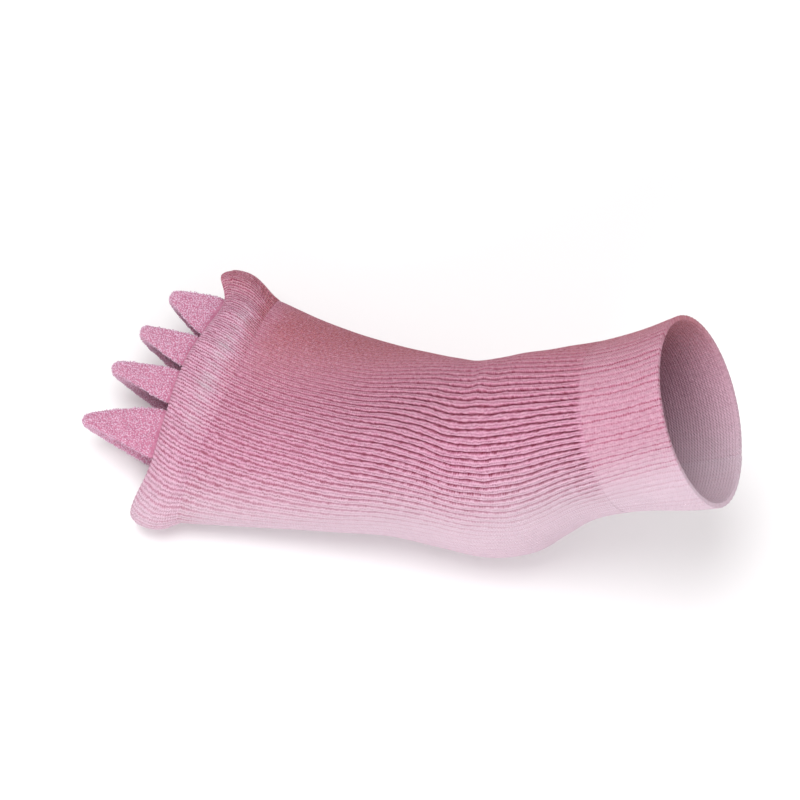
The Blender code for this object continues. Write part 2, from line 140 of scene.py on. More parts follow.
def plane_at(u):
    """Centre, lateral axis, upward axis and half sizes of the section at u."""
    sole_x, sole_z, top_x, top_z, half, side, slant, roll, belly, sole_p, top_p = row_at(u)
    height = math.hypot(top_x - sole_x, top_z - sole_z)
    rise = np.array([(top_x - sole_x) / height, 0.0, (top_z - sole_z) / height])
    across = np.array([math.sin(math.radians(slant)), math.cos(math.radians(slant)), 0.0])
    up = rise - (rise @ across) * across
    up /= np.linalg.norm(up)
    turn = math.radians(roll)
    lateral = math.cos(turn) * across + math.sin(turn) * up
    upward = math.cos(turn) * up - math.sin(turn) * across
    centre = np.array([sole_x, side, sole_z]) + belly * height * rise
    return centre, lateral, upward, half, (1 - belly) * height, belly * height, top_p, sole_p


def forward_at(u):
    """Direction square to the section, towards the toes."""
    _, lateral, upward = plane_at(u)[:3]
    return np.cross(upward, lateral)


def outline(u, angles, offset=0.0):
    """Points of the superellipse at angles from the little toe's side."""
    centre, lateral, upward, half, top, bottom, top_p, sole_p = plane_at(u)
    c, s = np.cos(angles), np.sin(angles)
    power = np.where(s > 0, top_p, sole_p)
    reach = np.where(s > 0, top, bottom)
    l = (half + offset) * np.sign(c) * np.abs(c) ** (2 / power)
    h = (reach + offset) * np.sign(s) * np.abs(s) ** (2 / power)
    return centre + np.outer(l, lateral) + np.outer(h, upward)


def measured(loops):
    """Lengths along a chain of points, or of rings of points, starting from 0."""
    steps = np.linalg.norm(np.diff(loops, axis=0), axis=-1)
    if steps.ndim > 1:
        steps = steps.mean(1)
    return np.concatenate([[0.0], np.cumsum(steps)])


ring_samples = 1441      # points of the fine outline that is shared out


def ring(u, shares, offset=0.0):
    """Points at shares of the girth, `offset` outside the section."""
    samples = np.linspace(-math.pi / 2, 1.5 * math.pi, ring_samples)
    line = outline(u, samples)
    travelled = measured(line)
    angles = np.interp((np.asarray(shares) % 1.0) * travelled[-1], travelled, samples)
    return outline(u, angles, offset)


# %% Lengths along the sleeve
steps_in_a_row = 40
line_rows = np.linspace(0, last_row, steps_in_a_row * len(rows))
middles = np.array([(row_at(u)[0:2] + row_at(u)[2:4]) / 2 for u in line_rows])
line_lengths = measured(middles)
sleeve_length = line_lengths[-1]


def row_after(length):
    """Row at a length from the hem's front."""
    return float(np.interp(length, line_lengths, line_rows))


def length_at(u):
    """Length from the hem's front at row u."""
    return float(np.interp(u, line_rows, line_lengths))


print("sleeve is", round(1000 * sleeve_length), "mm long from hem to rim")

# %% Curves through a few points
def smooth_through(points, count, closed):
    """Catmull-Rom curves through the first axis, resampled to `count` points at equal steps."""
    n = len(points)
    t = np.arange(count) * n / count if closed else np.linspace(0, n - 1, count)
    i = np.minimum(t.astype(int), n - 1 if closed else n - 2)
    f = (t - i).reshape((-1,) + (1,) * (points.ndim - 1))
    if closed:
        p0, p1, p2, p3 = (points[(i + k) % n] for k in (-1, 0, 1, 2))
    else:
        padded = np.concatenate([2 * points[:1] - points[1:2], points, 2 * points[-1:] - points[-2:-1]])
        p0, p1, p2, p3 = (padded[i + k] for k in (0, 1, 2, 3))
    return 0.5 * (2 * p1 + (p2 - p0) * f + (2 * p0 - 5 * p1 + 4 * p2 - p3) * f ** 2
                  + (3 * p1 - p0 - 3 * p2 + p3) * f ** 3)


# %% [markdown]
# ## How the ribs run
#
# Evenly shared ribs would run straight along the sleeve.  On a worn sock three things pull them aside: the
# wide toe end fans them out, the heel pocket lets them sag, and the narrow leg draws them together again.
# Each pull is a smooth bump over the sleeve, which is easier to tune than drawing every rib.

# %% Pulls on the ribs
def smooth_step(low, high, x):
    """0 up to `low`, 1 from `high` on, and smooth between; the other way round if low is above high."""
    t = np.clip((np.asarray(x, float) - low) / (high - low), 0, 1)
    return t * t * (3 - 2 * t)


def bell(x, middle, spread):
    """1 at the middle, falling to a third at `spread` from it."""
    return np.exp(-((np.asarray(x, float) - middle) / spread) ** 2)


# Each pull: how far, then its middle and spread, all as shares of the girth
toe_pull, toe_pull_middle, toe_pull_spread = -0.140, 0.67, 0.34
heel_sag, heel_sag_middle, heel_sag_spread = 0.020, 0.77, 0.10
leg_pull, leg_pull_middle, leg_pull_spread = -0.050, 0.76, 0.13
# Rows where each acts.  The toes' pull gets narrower over the first rows and dies away towards the last
toe_narrowing, toe_narrows_to, toe_pull_last, toe_pull_power = 0.025, 6.0, 9.5, 1.6
heel_sag_row, heel_sag_rows = 8.6, 1.1
leg_pull_first, leg_pull_full = 9.3, 12.5
# The middle of the sole stays put: the shares over which the pulls begin and end beside it
pulls_begin, pulls_end = (0.0, 0.15), (1.0, 0.90)


def drifted(u, shares):
    """Shares of the girth where the ribs really lie at row u."""
    fan = toe_pull_spread - toe_narrowing * min(u, toe_narrows_to)
    left = max(1 - u / toe_pull_last, 0.0) ** toe_pull_power
    at_toes = toe_pull * left * bell(shares, toe_pull_middle, fan)
    sagging = heel_sag * bell(u, heel_sag_row, heel_sag_rows)
    at_heel = sagging * bell(shares, heel_sag_middle, heel_sag_spread)
    drawn = leg_pull * smooth_step(leg_pull_first, leg_pull_full, u)
    at_leg = drawn * bell(shares, leg_pull_middle, leg_pull_spread)
    beside_sole = smooth_step(*pulls_begin, shares) * smooth_step(*pulls_end, shares)
    return shares + (at_toes + at_heel + at_leg) * beside_sole


print("a rib at the top of the hem lies", round(float(drifted(0, 0.5)), 3), "of the way round")

# %% [markdown]
# ## A grid becomes cloth
#
# Every piece of knit here is one closed grid: loops of points that go along the outside, over an edge and
# back along the inside.  A second helper pushes the grid out along its own normals, which is how ribs,
# stitches and folds get their relief.

# %% Grid helpers
def normals_of(grid, closed_rows=True):
    """Unit normals of a grid of loops (loops, points, 3); the points of a loop go round and close."""
    round_ = np.roll(grid, -1, 1) - np.roll(grid, 1, 1)
    along = np.roll(grid, -1, 0) - np.roll(grid, 1, 0) if closed_rows else np.gradient(grid, axis=0)
    normal = np.cross(round_, along)
    return normal / np.maximum(np.linalg.norm(normal, axis=2, keepdims=True), 1e-12)


def pushed_out(grid, sides, relief):
    """A sleeve grid with relief added along the normals of its outside and of its inside.  The loops of the
    two edges move with the outside next to them, so that neighbouring pieces still meet."""
    outer, inner = np.flatnonzero(sides == 1), np.flatnonzero(sides == -1)
    normals = np.zeros_like(grid)
    normals[outer] = normals_of(grid[outer], closed_rows=False)
    normals[inner] = normals_of(grid[inner], closed_rows=False)
    normals[outer[-1] + 1:inner[0]] = normals[outer[-1]]
    normals[inner[-1] + 1:] = normals[outer[0]]
    return grid + normals * relief[..., None]


def placed(name, points, faces, material):
    """A smooth piece made of points and faces, linked to the scene."""
    mesh = bpy.data.meshes.new(name)
    mesh.from_pydata(points.reshape(-1, 3).tolist(), [], faces)
    mesh.shade_smooth()
    mesh.materials.append(material)
    piece = bpy.data.objects.new(name, mesh)
    bpy.context.scene.collection.objects.link(piece)
    return piece


def grid_quads(loops, points, closed_rows):
    """Loop and point number of each quad's first corner, and its four corners as numbers of points."""
    first = np.arange(loops if closed_rows else loops - 1)
    a, b = np.meshgrid(first, np.arange(points), indexing="ij")
    an, bn = (a + 1) % loops, (b + 1) % points
    quads = np.stack([a * points + b, a * points + bn, an * points + bn, an * points + b], -1)
    return a, b, quads.reshape(-1, 4).tolist()


def knit_piece(name, grid, uv, material, marks):
    """A closed grid of knit.  uv holds one more loop and one more column than the grid."""
    a, b, quads = grid_quads(*grid.shape[:2], closed_rows=True)
    piece = placed(name, grid, quads, material)
    layer = piece.data.uv_layers.new(name="knit")
    corners = np.stack([uv[a, b], uv[a, b + 1], uv[a + 1, b + 1], uv[a + 1, b]], -2)
    layer.data.foreach_set("uv", corners.astype(np.float32).ravel())
    for key, values in marks.items():
        mark = piece.data.attributes.new(key, "FLOAT", "POINT")
        everywhere = np.broadcast_to(values, grid.shape[:2])
        mark.data.foreach_set("value", everywhere.astype(np.float32).ravel())
    return piece


def knit_uv(ribs, stitches):
    """First coordinate: the rib, one more column than the grid has.  Second: the stitch of each loop."""
    return np.stack(np.meshgrid(stitches, ribs, indexing="ij")[::-1], -1)


# %% [markdown]
# ## Yarn colours, painted light and shade, and the knit finish
#
# The ridges are pink and the furrows between them deep rose, partly the plaited yarn's own colour and partly
# painted shade.  On the far side painted shade turns the knit dusky rose, and along the lower edge, which
# faces
# the light, painted light makes it paler.  An image could hold this, but a few maths nodes do it at any
# distance:
# the first texture coordinate counts ribs and the second counts stitches, so the distance to the nearest
# whole number is the distance to a furrow.

# %% Small node helpers
def new_material(name, roughness, sheen):
    """A dull, softly glowing cloth; returns the material, its node tree and its shader."""
    material = bpy.data.materials.new(name)
    material.use_nodes = True
    shader = material.node_tree.nodes["Principled BSDF"]
    shader.inputs["Roughness"].default_value = roughness
    shader.inputs["Specular IOR Level"].default_value = 0.25
    shader.inputs["Sheen Weight"].default_value = sheen
    shader.inputs["Sheen Roughness"].default_value = 0.5
    shader.inputs["Sheen Tint"].default_value = (1.0, 0.86, 0.91, 1.0)
    return material, material.node_tree, shader


def feed(tree, value, socket):
    """Put a number, a colour or another node's output into a socket."""
    if isinstance(value, bpy.types.NodeSocket):
        tree.links.new(value, socket)
    else:
        socket.default_value = value


def calc(tree, operation, *values, clamp=False):
    """One maths node; its output."""
    node = tree.nodes.new("ShaderNodeMath")
    node.operation = operation
    node.use_clamp = clamp
    for socket, value in zip(node.inputs, values):
        feed(tree, value, socket)
    return node.outputs[0]


def band(tree, value, near, far, low=1.0, high=0.0):
    """Goes smoothly from `low` at `near` to `high` at `far`."""
    node = tree.nodes.new("ShaderNodeMapRange")
    node.interpolation_type = "SMOOTHSTEP"
    names = ("Value", "From Min", "From Max", "To Min", "To Max")
    for key, number in zip(names, (value, near, far, low, high)):
        feed(tree, number, node.inputs[key])
    return node.outputs[0]


def blend_colours(tree, factor, first, second):
    """The first colour where the factor is 0, the second where it is 1."""
    node = tree.nodes.new("ShaderNodeMix")
    node.data_type = "RGBA"
    feed(tree, factor, node.inputs["Factor"])
    feed(tree, first, node.inputs[6])
    feed(tree, second, node.inputs[7])
    return node.outputs[2]


def speckle(tree, scale, detail=2.0, where=None, roughness=0.5):
    """Noise in object space, or in the coordinates given as `where`."""
    node = tree.nodes.new("ShaderNodeTexNoise")
    node.inputs["Scale"].default_value = scale
    node.inputs["Detail"].default_value = detail
    node.inputs["Roughness"].default_value = roughness
    if where is None:
        where = tree.nodes.new("ShaderNodeTexCoord").outputs["Object"]
    tree.links.new(where, node.inputs["Vector"])
    return node.outputs["Fac"]


def mark(tree, name):
    """The value of a point mark."""
    node = tree.nodes.new("ShaderNodeAttribute")
    node.attribute_name = name
    return node.outputs["Fac"]


def bumps(tree, height, distance, strength=1.0, below=None):
    """Bumps as high as `distance`, on top of other bumps if `below` is given."""
    node = tree.nodes.new("ShaderNodeBump")
    node.inputs["Strength"].default_value = strength
    node.inputs["Distance"].default_value = distance
    tree.links.new(height, node.inputs["Height"])
    if below is not None:
        tree.links.new(below, node.inputs["Normal"])
    return node.outputs["Normal"]


# %% Knit colours, in linear light
ridge_pink = (0.81, 0.475, 0.63, 1.0)
shade_pink = (0.69, 0.33, 0.49, 1.0)
# painted shade on the flanks of each furrow
flank_shade_pink = (0.57, 0.09, 0.22, 1.0)
# deep rose of the furrows: partly the plaited yarn's own colour, partly painted shade
furrow_rose_and_shade = (0.20, 0.005, 0.028, 1.0)
# painted shade: the far side, away from the light, turned dusky rose
painted_shade_rose = (0.50, 0.16, 0.185, 1.0)
# painted light: the lower edge, which faces the light and the white floor, made paler
painted_light_pink = (0.67, 0.515, 0.60, 1.0)
cuff_shade_pink = (0.58, 0.31, 0.42, 1.0)
cuff_ridge_pink = (0.70, 0.41, 0.53, 1.0)
yarn_unrest, tooth_height = 0.09, 0.18      # shares of a rib
course_height = fibre_height = 0.00020


def knit_finish(name, furrow_width, split_width, dotted, low=shade_pink, high=ridge_pink):
    """A ribbed knit.  The marks deep and split say how strong the furrows and the line on each rib are;
    the other two marks say where painted shade turns the far side dusky rose and where painted light
    makes the lower edge paler."""
    material, tree, shader = new_material(name, 0.9, 0.08)
    place = tree.nodes.new("ShaderNodeUVMap")
    place.uv_map = "knit"
    parts = tree.nodes.new("ShaderNodeSeparateXYZ")
    tree.links.new(place.outputs["UV"], parts.inputs[0])
    rib, stitch = parts.outputs["X"], parts.outputs["Y"]

    # no stitch sits exactly in line with the one before it
    fine_place = tree.nodes.new("ShaderNodeCombineXYZ")
    tree.links.new(calc(tree, "MULTIPLY", rib, 1.7), fine_place.inputs["X"])
    tree.links.new(calc(tree, "MULTIPLY", stitch, 0.55), fine_place.inputs["Y"])
    unrest = speckle(tree, 1.0, 2.0, fine_place.outputs[0], 0.7)
    unruly = band(tree, unrest, 0.30, 0.70, -yarn_unrest, yarn_unrest)

    # the stitches stand out at the edges of a rib like small teeth
    teeth = calc(tree, "MULTIPLY", calc(tree, "PINGPONG", stitch, 0.5), tooth_height)
    astray = calc(tree, "ADD", calc(tree, "PINGPONG", calc(tree, "ADD", rib, unruly), 0.5), teeth)
    to_furrow = calc(tree, "SUBTRACT", astray, tooth_height / 4)      # the teeth's mean
    to_split = calc(tree, "SUBTRACT", 0.5, to_furrow)
    furrow = band(tree, to_furrow, 0.0, furrow_width)
    split = band(tree, to_split, 0.0, split_width)

    # the furrows' deep rose, partly the plaited yarn and partly painted shade, shows in dashes, one at each
    # stitch, longer where the knit is pulled open
    number = calc(tree, "ROUND", rib)
    shift = calc(tree, "MULTIPLY", number, 0.37)
    beat = calc(tree, "PINGPONG", calc(tree, "ADD", stitch, shift), 0.5)
    dash = band(tree, beat, 0.08, 0.34, 1.0, 1.0 - dotted)
    long_place = tree.nodes.new("ShaderNodeCombineXYZ")
    tree.links.new(rib, long_place.inputs["X"])
    tree.links.new(calc(tree, "MULTIPLY", stitch, 0.28), long_place.inputs["Y"])
    uneven = band(tree, speckle(tree, 1.0, 3.0, long_place.outputs[0], 0.6), 0.36, 0.62, 0.65, 1.0)

    strong = calc(tree, "MULTIPLY", calc(tree, "MULTIPLY", furrow, mark(tree, "deep")), dash)
    weak = calc(tree, "MULTIPLY", calc(tree, "MULTIPLY", split, mark(tree, "split")), dash)
    rose = calc(tree, "MULTIPLY", calc(tree, "MAXIMUM", strong, weak), uneven, clamp=True)
    # painted shade on the flanks of each furrow
    flank = calc(tree, "MULTIPLY", band(tree, to_furrow, 0.05, 1.3 * furrow_width), mark(tree, "deep"))
    flank_shade = calc(tree, "MULTIPLY", flank, 0.40, clamp=True)

    cloudy = band(tree, speckle(tree, 900.0, 2.0), 0.3, 0.7, 0.0, 1.0)
    ridge = blend_colours(tree, cloudy, low, high)
    # painted shade on the far side: flecks of dusky rose and dashes of deep rose
    flecks = band(tree, speckle(tree, 2.2, 3.0, long_place.outputs[0], 0.7), 0.40, 0.68, 1.0, 0.55)
    painted_shade_flecks = calc(tree, "MULTIPLY", mark(tree, "far_side_shade"), flecks, clamp=True)
    shade_dashes = band(tree, speckle(tree, 3.0, 2.0, long_place.outputs[0], 0.6), 0.50, 0.62, 0.0, 0.40)
    shade_dashes = calc(tree, "MULTIPLY", shade_dashes, mark(tree, "far_side_shade"), clamp=True)
    ridge = blend_colours(tree, painted_shade_flecks, ridge, painted_shade_rose)
    ridge = blend_colours(tree, shade_dashes, ridge, furrow_rose_and_shade)
    # painted light along the lower edge, and the painted highlight on the hem's crown
    ridge = blend_colours(tree, mark(tree, "painted_light"), ridge, painted_light_pink)
    ridge = blend_colours(tree, flank_shade, ridge, flank_shade_pink)
    colour = blend_colours(tree, rose, ridge, furrow_rose_and_shade)
    tree.links.new(colour, shader.inputs["Base Color"])

    # two legs of a knit stitch lean towards each other, so the courses step up and down across a rib
    lean = calc(tree, "PINGPONG", calc(tree, "MULTIPLY", rib, 2.0), 0.5)
    course = calc(tree, "SINE", calc(tree, "MULTIPLY", calc(tree, "ADD", stitch, lean), 2 * math.pi))
    fibres = speckle(tree, 2600.0, 3.0)
    normal = bumps(tree, course, course_height, 0.9)
    normal = bumps(tree, fibres, fibre_height, 0.7, below=normal)
    tree.links.new(normal, shader.inputs["Normal"])
    return material


rib_finish = knit_finish("rose_rib_knit", 0.30, 0.19, 0.22)
cuff_finish = knit_finish("pale_rib_knit", 0.24, 0.18, 0.9, cuff_shade_pink, cuff_ridge_pink)
hem_finish = knit_finish("hem_knit", 0.20, 0.20, 0.35)
print("knit finishes:", [m.name for m in (rib_finish, cuff_finish, hem_finish)])

# %% [markdown]
# ## The ribbed sleeve of the foot
#
# A tube could get its ribs from a bump map, but the outline at the ankle and the light in the furrows show
# that they are real.  The grid has eight points across each rib, so the furrow between two ribs and the
# fainter line down the middle of each are modelled.  Near the hem both are alike and shallow, because the
# knit is stretched there, and at the ankle the furrows close up and get deep.

# %% Relief of the foot
rib_count = 84
stitch_length = 0.0011
foot_wall, cuff_wall = 0.0026, 0.0020
hem_width, hem_thickness, cuff_length = 0.019, 0.0044, 0.037
ribs_begin, ribs_end = (0.40, 0.53), (0.62, 0.80)     # shares over which they come up and run out

folds = [
    # row  start  end  width  depth as a share of the wall
    (7.55, 0.40, 0.70, 0.28, 0.30),
    (8.00, 0.42, 0.72, 0.25, -0.20),
    (8.50, 0.40, 0.72, 0.28, 0.30),
    (9.60, 0.20, 0.42, 0.50, 0.25),
]


fold_fade = 0.3      # share of a fold's length over which it comes up, and runs out


def fold_depth(u, shares):
    """Depth of the soft folds above the heel, in metres."""
    depth = np.zeros(np.broadcast(u, shares).shape)
    for row, start, end, width, share in folds:
        fade = fold_fade * (end - start)
        inside = smooth_step(start, start + fade, shares) * (1 - smooth_step(end - fade, end, shares))
        depth += share * foot_wall * np.exp(-((u - row) / width) ** 2) * inside
    return depth


def furrow_at(ribs, width):
    """1 in the middle of each furrow, falling to 0 at `width` ribs from it."""
    away = np.abs((ribs + 0.5) % 1.0 - 0.5)
    return np.exp(-(away / width) ** 2)


sleeve_waver, hem_waver = 0.04, 0.03      # ribs


def waver(u, shares, amount):
    """Ribs aren't ruled lines: they drift a little to either side."""
    drift = np.sin(4.3 * u + 190 * shares) + 0.8 * np.sin(9.1 * u - 310 * shares)
    drift = drift + 0.7 * np.sin(17 * u + 640 * shares)
    return amount * drift / rib_count


def sleeve_grid(outer_rows, inner_rows, shares, lift, wall, edge_steps=3, tight=0.00015):
    """Loops along the outside, round the back edge, along the inside and round the front edge.
    An extra loop close to each end keeps the shading flat right up to the edge."""
    loops = []
    first_gap = row_after(length_at(outer_rows[0]) + tight)
    last_gap = row_after(length_at(outer_rows[-1]) - tight)
    outer_rows = np.concatenate([outer_rows[:1], [first_gap], outer_rows[1:-1], [last_gap], outer_rows[-1:]])
    edge = [k / (edge_steps + 1) for k in range(1, edge_steps + 1)]
    for u in outer_rows:
        loops.append((u, 0.0, 1.0))
    for t in edge:
        loops.append((outer_rows[-1], -wall * t, 1 - t))
    for u in inner_rows[::-1]:
        loops.append((u, -wall, -1.0))
    for t in edge:
        loops.append((outer_rows[0], -wall * (1 - t), t))
    places = [drifted(u, shares) + waver(u, shares, sleeve_waver) for u, _, _ in loops]
    grid = np.array([ring(u, place, offset + lift(u, place)) for (u, offset, _), place in zip(loops, places)])
    return grid, np.array([u for u, _, _ in loops]), np.array([s for _, _, s in loops])


# %% Grid of the foot sleeve
across_rib = np.array([0.0, 0.07, 0.17, 0.33, 0.5, 0.67, 0.83, 0.93])
foot_ribs = (np.arange(rib_count)[:, None] + across_rib).ravel()
foot_shares = foot_ribs / rib_count
foot_loops, foot_inner_loops, under_hem_edge = 112, 26, 0.0015
foot_begins, cuff_begins = row_after(hem_width - under_hem_edge), row_after(sleeve_length - cuff_length)
foot_outer = np.linspace(foot_begins, cuff_begins, foot_loops)
foot_inner = foot_outer[np.linspace(0, foot_loops - 1, foot_inner_loops).astype(int)]
foot_grid, foot_rows, foot_side = sleeve_grid(
    foot_outer, foot_inner, foot_shares, lambda u, s: -fold_depth(u, s), foot_wall)
print("foot grid:", foot_grid.shape[:2])

# %% Make the foot sleeve
deepen_from, deepest_at = 2.0, 6.5      # rows between which the furrows get deep
faint_begin, faint_end, faint_ribs = (0.10, 0.20), (0.42, 0.53), 0.25      # the far side
cuff_fade, hem_fade = 0.003, 0.012
grown = smooth_step(deepen_from, deepest_at, foot_rows)[:, None]
foot_places = np.array([drifted(u, foot_shares) for u in foot_rows])
ribbed = smooth_step(*ribs_begin, foot_places) * (1 - smooth_step(*ribs_end, foot_places))
faint = smooth_step(*faint_begin, foot_places) * (1 - smooth_step(*faint_end, foot_places))
ribbed = ribbed + faint_ribs * faint
outside = np.maximum(foot_side, 0)[:, None]
foot_lengths = np.array([length_at(u) for u in foot_rows])
to_cuff = (length_at(foot_outer[-1]) - foot_lengths)[:, None]
wobble = 0.0010 * np.sin(37 * foot_shares) * np.sin(61 * foot_shares + 1)
meets_cuff = smooth_step(0.0, cuff_fade, to_cuff + wobble)
from_hem = (foot_lengths - hem_width)[:, None]
by_hem = 1 - smooth_step(0.0, hem_fade, from_hem + 2 * wobble)
# Depths near the hem, and what is added up to the ankle
furrow_start, furrow_growth = 0.00045, 0.00105
split_start, split_growth = 0.00032, -0.00002
furrow_depth = (furrow_start + furrow_growth * grown) * (0.35 + 0.65 * meets_cuff) * ribbed * outside
split_depth = (split_start + split_growth * grown) * ribbed * outside
furrow_half, split_half = 0.15, 0.13      # half widths in ribs
relief = -furrow_depth * furrow_at(foot_ribs, furrow_half)
relief = relief - split_depth * furrow_at(foot_ribs + 0.5, split_half)
foot_grid = pushed_out(foot_grid, foot_side, relief)

foot_stitches = foot_lengths / stitch_length
foot_uv = knit_uv(np.append(foot_ribs, rib_count), np.append(foot_stitches, foot_stitches[0]))
inside_faintness = np.where(outside > 0, 1.0, 0.4)
foot_shown = (0.10 + 0.90 * ribbed + 0.45 * by_hem * (1 - ribbed)) * inside_faintness
foot_marks = {
    "deep": foot_shown * (0.85 + 0.15 * grown) * (0.5 + 0.5 * meets_cuff),
    "split": foot_shown * (0.85 - 0.22 * grown),
    # painted shade on the far side, weaker by the hem; painted light on the big toe's side and under the sole
    "far_side_shade": bell(foot_places, 0.33, 0.16) * (1 - 0.45 * by_hem),
    "painted_light": smooth_step(0.59, 0.76, foot_places) + 1 - smooth_step(0.02, 0.16, foot_places),
}
foot_sleeve = knit_piece("foot_sleeve", foot_grid, foot_uv, rib_finish, foot_marks)
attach(foot_sleeve, "root")
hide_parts("foot_tube")
print("foot sleeve:", len(foot_sleeve.data.polygons) * 2, "triangles")

# %% [markdown]
# ## The leg cuff
#
# The cuff is the same sleeve, knitted finer.  Its furrows come in a beat of four: two that are marked with
# dots, where the needle left a stitch out, and two faint ones.  The rim is only as thick as the knit, so the
# ribs make its edge slightly scalloped.

# %% Make the cuff
across_cuff_rib = np.array([0.0, 0.06, 0.14, 0.28, 0.5, 0.72, 0.86, 0.94])
cuff_ribs = (np.arange(rib_count)[:, None] + across_cuff_rib).ravel()
cuff_shares = cuff_ribs / rib_count
cuff_loops, cuff_inner_loops = 60, 24
cuff_outer = np.linspace(cuff_begins, last_row, cuff_loops)
cuff_inner = cuff_outer[np.linspace(0, cuff_loops - 1, cuff_inner_loops).astype(int)]
flare_place, flare_spread, rim_flare = 0.86, 0.12, 0.0020


def cuff_lift(u, shares):
    """The rim flares a little at its back, and the folds run on into the cuff."""
    at_back = np.exp(-((shares - flare_place) / flare_spread) ** 2)
    return rim_flare * at_back * smooth_step(last_row - 1.5, last_row, u) - fold_depth(u, shares)


cuff_grid, cuff_rows, cuff_side = sleeve_grid(cuff_outer, cuff_inner, cuff_shares, cuff_lift, cuff_wall)
beat = np.round(cuff_ribs) % 4
strength = np.where((beat == 0) | (beat == 1), 1.0, 0.35)
cuff_outside = (cuff_side > 0)[:, None]
inside_echo = -0.3      # the inside shows the relief the other way round, and less of it
cuff_shown = 0.15 + 0.85 * smooth_step(0.34, 0.48, cuff_shares) * (1 - smooth_step(0.64, 0.80, cuff_shares))
dotted_depth, cuff_furrow_depth = 0.00010, 0.00026
cuff_relief = -dotted_depth * strength * furrow_at(cuff_ribs, 0.14)
cuff_relief = cuff_relief - cuff_furrow_depth * furrow_at(cuff_ribs, 0.40)
cuff_relief = cuff_relief * np.where(cuff_side > 0, cuff_side, inside_echo)[:, None]
cuff_grid = pushed_out(cuff_grid, cuff_side, cuff_relief)
cuff_stitches = np.array([length_at(u) for u in cuff_rows]) / stitch_length
cuff_uv = knit_uv(np.append(cuff_ribs, rib_count), np.append(cuff_stitches, cuff_stitches[0]))
cuff_marks = {
    "deep": (0.35 + 0.65 * strength) * cuff_shown * np.where(cuff_outside, 1.0, 0.5),
    "split": 0.30 * cuff_shown * np.where(cuff_outside, 1.0, 0.5),
    # painted shade: a little everywhere and most on the far side; painted light on the big toe's side and the
    # sole
    "far_side_shade": 0.10 + 0.80 * bell(cuff_shares, 0.33, 0.12),
    "painted_light": np.clip(smooth_step(0.60, 0.80, cuff_shares) + bell(cuff_shares, -0.06, 0.16), 0, 1),
}
cuff = knit_piece("cuff", cuff_grid, cuff_uv, cuff_finish, cuff_marks)
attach(cuff, "root")
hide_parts("leg_cuff")
print("cuff:", len(cuff.data.polygons) * 2, "triangles")

# %% [markdown]
# ## The turned hem
#
# The knit is folded back on itself at its end, so the hem is a soft double band with a round front edge.
# It is a pillow section carried round the mouth, and its fine wales run across it from edge to edge.

# %% Section and flares of the hem
hem_flares = [
    # place  spread  outward and forward as shares of the thickness
    (0.274, 0.040, 0.75, 2.40),
    (0.46, 0.115, 0.0, 1.25),
    (0.66, 0.05, 0.0, -0.3),
    (0.76, 0.07, 0.35, 0.1),
]
hem_roll = 0.15      # how far past its front fold the outward swelling would reach
# Section of the band: place from its front fold (0) to its seam (1), height as a share of the thickness
hem_profile = [
    (0.00, 0.00), (0.015, 0.24), (0.07, 0.44), (0.18, 0.57), (0.34, 0.65), (0.50, 0.68), (0.65, 0.63),
    (0.79, 0.48), (0.92, 0.26), (1.03, 0.06), (1.07, -0.12), (1.00, -0.26), (0.80, -0.29), (0.50, -0.30),
    (0.22, -0.29), (0.05, -0.20),
]
hem_lift = (hem_thickness / 2 - foot_wall) / 2
wale_count = 2 * rib_count


def hem_flare(length, shares):
    """How far the band bulges outward and forward, at a place along its section."""
    moves = np.zeros((2, len(shares)))
    for place, spread, *far in hem_flares:
        moves += np.outer(far, np.exp(-((shares - place) / spread) ** 2))
    swelling = 4 * (length + hem_roll) * (1 - length) / (1 + hem_roll) ** 2
    return hem_thickness * moves[0] * swelling, hem_thickness * moves[1] * (1 - length) ** 0.6


# %% Make the hem
across_wale, hem_section_points = np.array([0.0, 0.2, 0.5, 0.8]), 72
hem_ribs = (np.arange(wale_count)[:, None] + across_wale).ravel() / 2
hem_shares = hem_ribs / rib_count
hem_section = smooth_through(np.array(hem_profile), hem_section_points, closed=True)
soft = 1 + 0.16 * np.sin(17 * hem_shares + 1) + 0.12 * np.sin(61 * hem_shares)
soft = soft + 0.08 * np.sin(139 * hem_shares + 2)
hem_loops = []
for length, offset in hem_section:
    row = row_after(max(length, 0) * hem_width)
    places = drifted(row, hem_shares) + waver(row, hem_shares, hem_waver)
    outward, forward = hem_flare(np.clip(length, 0, 1), places)
    puff = max(offset, 0) * hem_thickness * (soft if length > 0.15 else 1.0)
    points = ring(row, places, puff + min(offset, 0) * hem_thickness + outward)
    hem_loops.append(points + np.outer(forward, forward_at(row)))
hem_grid = np.array(hem_loops)
wale_depth, wale_half = 0.00034, 0.22
hem_grid = hem_grid - normals_of(hem_grid) * (wale_depth * furrow_at(2 * hem_ribs, wale_half))[None, :, None]
hem_lengths = measured(hem_grid)
hem_stitches = np.append(hem_lengths, hem_lengths[-1] + hem_lengths[1]) / stitch_length
hem_uv = knit_uv(np.append(hem_ribs, rib_count), hem_stitches)
hem_places = drifted(0.5, hem_shares)
hem_low = smooth_step(0.60, 0.76, hem_places) + (1 - smooth_step(0.0, 0.16, hem_places))
# painted highlight: the crown's rear third is paler on its far half, in streaky patches
crown = (bell(hem_section[:, 0], 0.66, 0.20) * (hem_section[:, 1] > 0))[:, None]
highlight_patches = smooth_step(0.30, 0.40, hem_places) * smooth_step(0.62, 0.50, hem_places)
highlight_patches = highlight_patches * (0.60 + 0.20 * np.sin(90 * hem_places + 1) + 0.20 * np.sin(330 * hem_places))
ragged = 0.10 * np.sin(47 * hem_places) * np.sin(113 * hem_places + 1)
rear = (smooth_step(0.74, 1.0, hem_section[:, 0][:, None] + ragged) * (hem_section[:, 1] > -0.1)[:, None])
